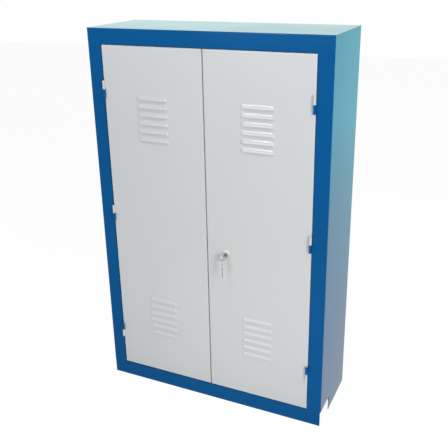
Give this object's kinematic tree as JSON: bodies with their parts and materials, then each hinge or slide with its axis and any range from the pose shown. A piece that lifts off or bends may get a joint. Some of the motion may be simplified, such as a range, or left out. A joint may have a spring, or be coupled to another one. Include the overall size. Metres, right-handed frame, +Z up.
{
  "type": "tool cabinet",
  "caption": "Tall, shallow sheet-steel tool cabinet with hinged louvred doors, adjustable shelves, a cam lock with its key, and hand bolts inside.",
  "frame": {"origin": "centre of the overall bounding box's bottom face, on the floor", "axes": "+Z up, -Y out of the front where the doors open, +X to the right as seen from the front"},
  "size_m": [0.76, 0.3068, 1.2],
  "materials": {
    "blue_paint": "glossy stoved enamel",
    "grey_paint": "semi-gloss stoved enamel",
    "zinc": "bright zinc plate",
    "nickel": "polished nickel plate",
    "rubber": "matt moulded rubber",
    "knob_plastic": "glossy moulded plastic"
  },
  "bodies": {
    "carcass": {"left_side_panel": "blue_paint", "right_side_panel": "blue_paint", "top_panel": "blue_paint", "bottom_panel": "blue_paint", "back_panel": "blue_paint", "shelf_rack_front_left": "grey_paint", "shelf_rack_rear_left": "grey_paint", "shelf_rack_front_right": "grey_paint", "shelf_rack_rear_right": "grey_paint", "lower_shelf": "grey_paint", "middle_shelf": "grey_paint", "upper_shelf": "grey_paint", "shelf_clips": "zinc", "door_buffers": "rubber", "left_frame_hinge_barrels": "blue_paint", "right_frame_hinge_barrels": "blue_paint", "left_hinge_pins": "zinc", "right_hinge_pins": "zinc"},
    "left_door": {"left_door_panel": "grey_paint", "left_door_stiffener": "grey_paint", "left_door_hinge_barrels": "grey_paint", "upper_bolt_guides": "zinc", "lower_bolt_guides": "zinc"},
    "upper_bolt": {"upper_bolt": "zinc", "upper_bolt_knob": "knob_plastic"},
    "lower_bolt": {"lower_bolt": "zinc", "lower_bolt_knob": "knob_plastic"},
    "right_door": {"right_door_panel": "grey_paint", "right_door_stiffener": "grey_paint", "right_door_hinge_barrels": "grey_paint", "lock_housing": "nickel", "lock_nut": "zinc"},
    "lock_plug": {"lock_plug": "nickel", "lock_cam": "zinc", "cam_screw": "zinc"},
    "key": {"key": "nickel"},
    "key_ring": {"key_ring": "nickel"},
    "spare_key": {"spare_key": "nickel"}
  },
  "joints": [
    {"name": "left_door_hinge", "type": "hinge", "parent": "carcass", "child": "left_door", "pos_m": [-0.3315, -0.11657, 0.6015], "axis": [0, 0, -1], "range_deg": [0, 180]},
    {"name": "right_door_hinge", "type": "hinge", "parent": "carcass", "child": "right_door", "pos_m": [0.3315, -0.11657, 0.6015], "axis": [0, 0, 1], "range_deg": [0, 180]},
    {"name": "upper_bolt_slide", "type": "slide", "parent": "left_door", "child": "upper_bolt", "axis": [0, 0, 1], "range_m": [0, 0.02]},
    {"name": "lower_bolt_slide", "type": "slide", "parent": "left_door", "child": "lower_bolt", "axis": [0, 0, -1], "range_m": [0, 0.02]},
    {"name": "plug_turn", "type": "hinge", "parent": "right_door", "child": "lock_plug", "pos_m": [0.064, -0.11257, 0.538], "axis": [0, 1, 0], "range_deg": [0, 90]},
    {"name": "key_slide", "type": "slide", "parent": "lock_plug", "child": "key", "axis": [0, -1, 0], "range_m": [0, 0.018]},
    {"name": "ring_swing", "type": "hinge", "parent": "key", "child": "key_ring", "pos_m": [0.064, -0.14167, 0.5355], "axis": [0.866, 0.5, 0], "range_deg": [-40, 25]},
    {"name": "spare_swing", "type": "hinge", "parent": "key_ring", "child": "spare_key", "pos_m": [0.064, -0.14167, 0.5175], "axis": [0.866, 0.5, 0], "range_deg": [-38, 38]}
  ]
}
